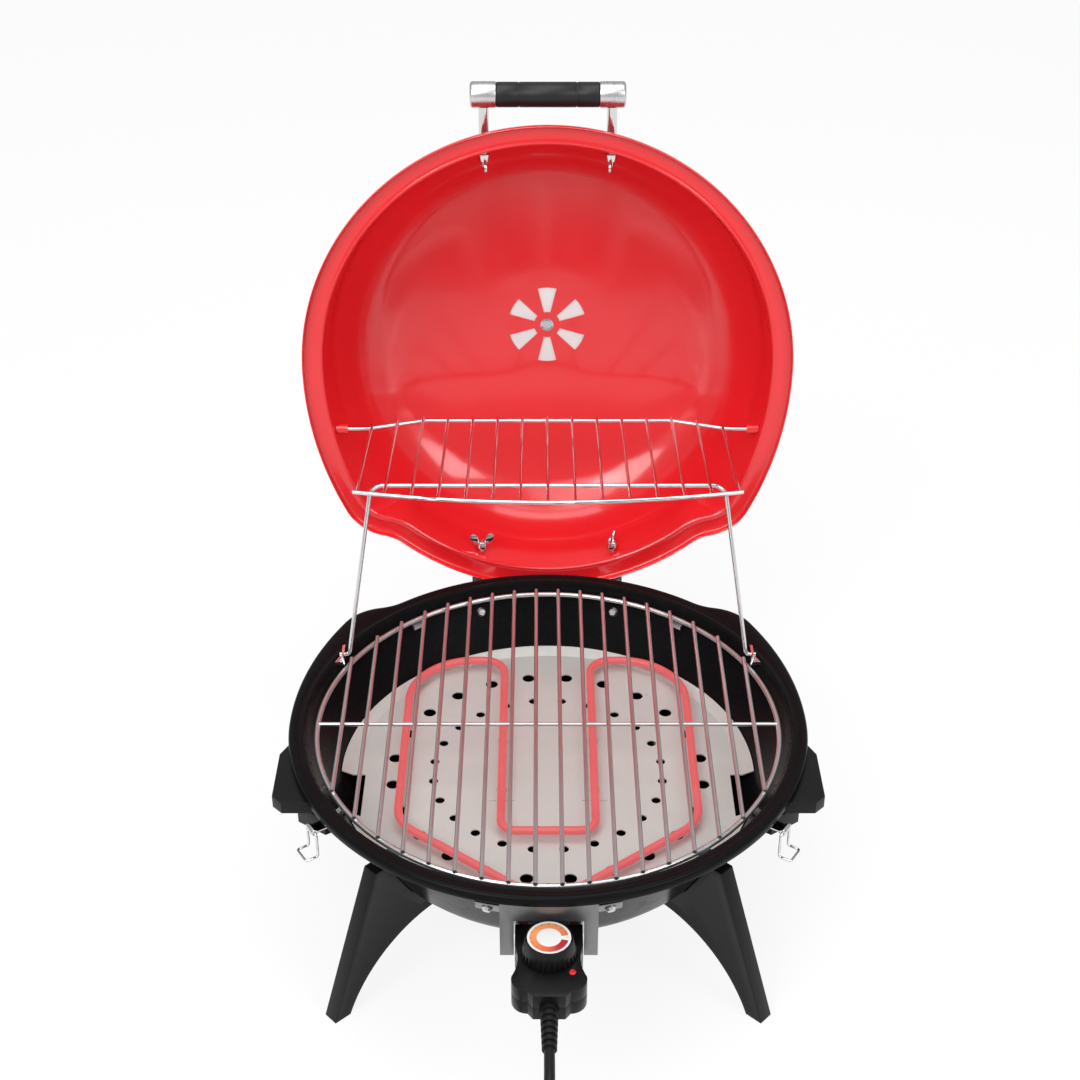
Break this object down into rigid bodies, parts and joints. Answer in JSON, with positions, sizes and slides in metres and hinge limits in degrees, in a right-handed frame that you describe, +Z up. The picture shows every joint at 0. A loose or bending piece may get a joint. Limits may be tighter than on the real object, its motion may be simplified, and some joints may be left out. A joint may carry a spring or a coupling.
{
  "type": "electric grill",
  "caption": "Countertop electric grill: round bowl on arched legs, hinged domed lid, warming rack that swings with the lid, plug-in controller and cord.",
  "frame": {"origin": "on the table under the middle of the bowl", "axes": "+X to the right, +Y to the rear where the lid is hinged, +Z up"},
  "size_m": [0.5, 0.9003, 0.7082],
  "materials": {
    "red_enamel": "gloss",
    "black_enamel": "gloss",
    "bright_chrome": "polished",
    "satin_steel": "satin",
    "hot_element": "satin",
    "black_plastic": "satin",
    "dial_white": "printed",
    "lamp_red": "clear gloss",
    "cord_black": "matte",
    "blade_brass": "bright"
  },
  "bodies": {
    "base": {"bowl_shell": "black_enamel", "reflector_pan": "satin_steel", "heating_element": "hot_element", "element_support_left": "satin_steel", "element_support_right": "satin_steel", "terminal_hood": "bright_chrome", "terminal_plate": "satin_steel", "hood_screws": "bright_chrome", "cooking_grate": "bright_chrome", "grate_rests": "black_enamel", "side_handle_left": "black_plastic", "side_handle_right": "black_plastic", "side_handle_bolts": "bright_chrome", "leg_front_left": "black_plastic", "leg_front_right": "black_plastic", "leg_rear_left": "black_plastic", "leg_rear_right": "black_plastic", "leg_screws": "bright_chrome", "hinge_bracket_left": "bright_chrome", "hinge_bracket_right": "bright_chrome", "hinge_pin_left": "satin_steel", "hinge_pin_right": "satin_steel", "hinge_bolts": "bright_chrome", "rack_lug_left": "bright_chrome", "rack_lug_right": "bright_chrome", "latch_bracket_left": "bright_chrome", "latch_bracket_right": "bright_chrome", "controller_upper_case": "black_plastic", "controller_lower_case": "black_plastic", "indicator_lens": "lamp_red", "thermostat_probe": "satin_steel", "thermostat_switch": "black_plastic", "contact_sockets": "satin_steel", "strain_relief": "black_plastic", "cord_lead": "cord_black", "cord_coil": "cord_black", "cord_tie": "black_plastic", "plug_body": "cord_black", "plug_blades": "blade_brass"},
    "knob": {"control_knob": "black_plastic", "dial_disc": "dial_white", "knob_spindle": "satin_steel"},
    "lid": {"lid_shell": "red_enamel", "handle_grip": "black_plastic", "handle_ferrule_left": "satin_steel", "handle_ferrule_right": "satin_steel", "handle_posts": "bright_chrome", "handle_wing_nuts": "bright_chrome", "hinge_leaf_left": "bright_chrome", "hinge_leaf_right": "bright_chrome", "hinge_leaf_bolts": "bright_chrome", "hinge_wing_nuts": "bright_chrome", "rack_bushings": "bright_chrome", "vent_bolt": "bright_chrome"},
    "vent": {"vent_damper": "bright_chrome"},
    "bail": {"rack_bail": "bright_chrome"},
    "panel": {"rack_panel": "bright_chrome"},
    "latch_left": {"latch_loop_left": "bright_chrome"},
    "latch_right": {"latch_loop_right": "bright_chrome"}
  },
  "joints": [
    {"name": "lid_hinge", "type": "hinge", "parent": "base", "child": "lid", "pos_m": [0, 0.243, 0.189], "axis": [1, 0, 0], "range_deg": [0, 96]},
    {"name": "rack_bail_swing", "type": "hinge", "parent": "base", "child": "bail", "pos_m": [0, 0.098, 0.2075], "axis": [1, 0, 0], "range_deg": [0, 96]},
    {"name": "rack_panel_swing", "type": "hinge", "parent": "lid", "child": "panel", "pos_m": [0, 0.29071, 0.35593], "axis": [1, 0, 0], "range_deg": [-96, 0]},
    {"name": "vent_turn", "type": "hinge", "parent": "lid", "child": "vent", "pos_m": [0, 0.41559, 0.4152], "axis": [0, 0.9945, -0.1045], "range_deg": [0, 30]},
    {"name": "knob_turn", "type": "hinge", "parent": "base", "child": "knob", "pos_m": [0, -0.2605, 0.16], "axis": [0, 0, -1], "range_deg": [0, 270]},
    {"name": "latch_left_swing", "type": "hinge", "parent": "base", "child": "latch_left", "pos_m": [-0.21093, -0.13698, 0.187], "axis": [-0.5446, 0.8387, 0], "range_deg": [0, 180]},
    {"name": "latch_right_swing", "type": "hinge", "parent": "base", "child": "latch_right", "pos_m": [0.21093, -0.13698, 0.187], "axis": [-0.5446, -0.8387, 0], "range_deg": [0, 180]}
  ],
  "couplings": [
    {"joint": "rack_bail_swing", "follows": "lid_hinge", "ratio": 1},
    {"joint": "rack_panel_swing", "follows": "lid_hinge", "ratio": -1}
  ]
}
